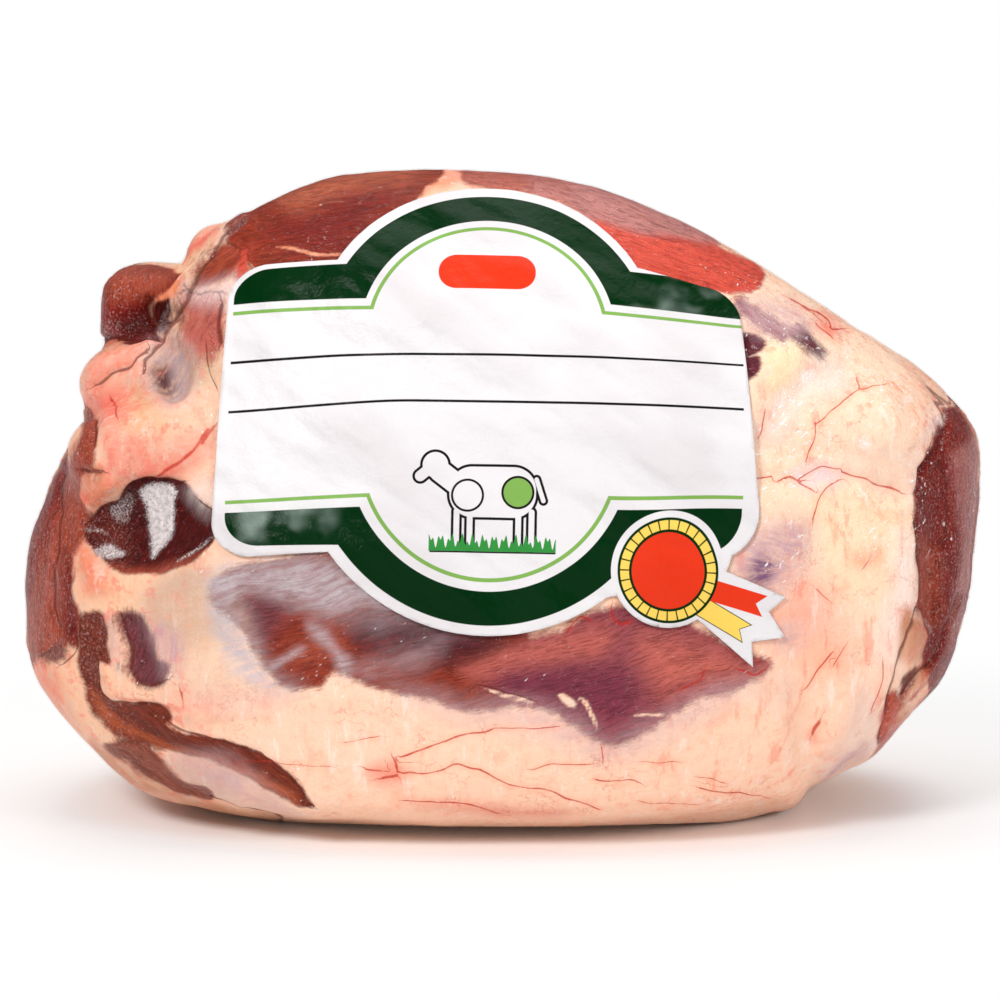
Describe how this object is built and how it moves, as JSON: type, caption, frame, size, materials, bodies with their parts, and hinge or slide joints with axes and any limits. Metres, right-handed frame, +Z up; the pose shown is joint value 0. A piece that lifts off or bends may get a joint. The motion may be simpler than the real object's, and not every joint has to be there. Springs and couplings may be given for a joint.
{
  "type": "raw leg of lamb",
  "caption": "Raw leg of lamb pressed into a compact block in a tight clear vacuum bag, with a die-cut paper label on its front.",
  "frame": {"origin": "middle of the footprint's bounding box, on the surface the block stands on", "axes": "+X along the block to its cut end, -Y out of the labelled front, +Z up"},
  "size_m": [0.2294, 0.1212, 0.1535],
  "materials": {
    "meat_in_film": "raw red muscle and cream fat under tight clear film, wet gloss",
    "label_paper": "gloss-coated white paper with plain bands of colour"
  },
  "bodies": {
    "root": {"leg": "meat_in_film", "label": "label_paper"}
  },
  "joints": []
}
